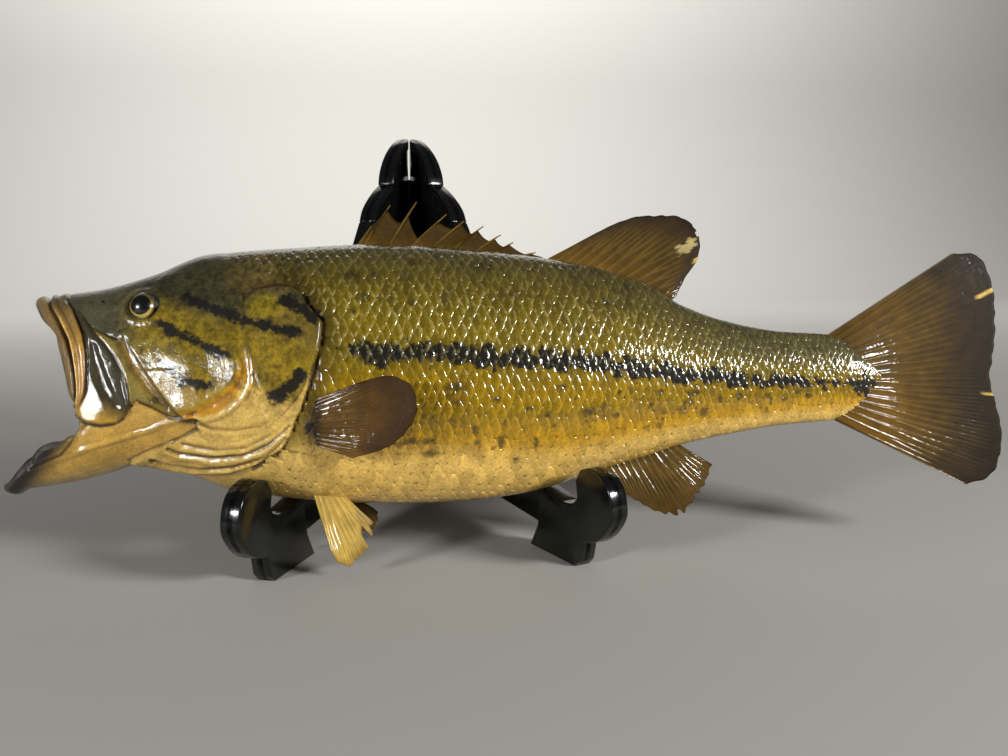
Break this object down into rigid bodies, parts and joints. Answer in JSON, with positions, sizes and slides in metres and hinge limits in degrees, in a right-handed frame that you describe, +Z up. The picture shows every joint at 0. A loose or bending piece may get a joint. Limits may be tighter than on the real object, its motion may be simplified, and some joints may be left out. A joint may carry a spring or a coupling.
{
  "type": "mounted largemouth bass on a plate easel",
  "caption": "Life-size mounted freshwater bass with open mouth and spread fins, resting on a black folding plate easel",
  "frame": {"origin": "on the floor under the middle of the whole model's box", "axes": "+X towards the tail, the fish's left side and the easel's hooks towards -Y, +Z up"},
  "size_m": [0.5554, 0.2388, 0.25],
  "materials": {
    "skin": "varnished painted fish skin, olive back and yellow flank",
    "jaw_skin": "varnished tan skin of jaws and throat",
    "fin": "varnished brown dried fin",
    "pale_fin": "dry straw-coloured fin",
    "eye": "polished glass eye with pale yellow ring",
    "easel_plastic": "glossy black moulded plastic"
  },
  "bodies": {
    "root": {"head": "skin", "upper_lip": "jaw_skin", "maxilla_left": "jaw_skin", "maxilla_right": "jaw_skin", "lower_jaw": "jaw_skin", "gill_cover_left": "skin", "gill_cover_right": "skin", "gill_membrane_left": "jaw_skin", "gill_membrane_right": "jaw_skin", "trunk": "skin", "tail_stem": "skin", "spiny_dorsal_fin": "fin", "soft_dorsal_fin": "fin", "anal_fin": "fin", "tail_fin": "fin", "pectoral_fin_left": "fin", "pectoral_fin_right": "fin", "pelvic_fin_left": "pale_fin", "pelvic_fin_right": "fin", "eye_left": "eye", "eye_right": "eye", "easel_left_half": "easel_plastic", "easel_right_half": "easel_plastic", "easel_pin": "easel_plastic"}
  },
  "joints": []
}
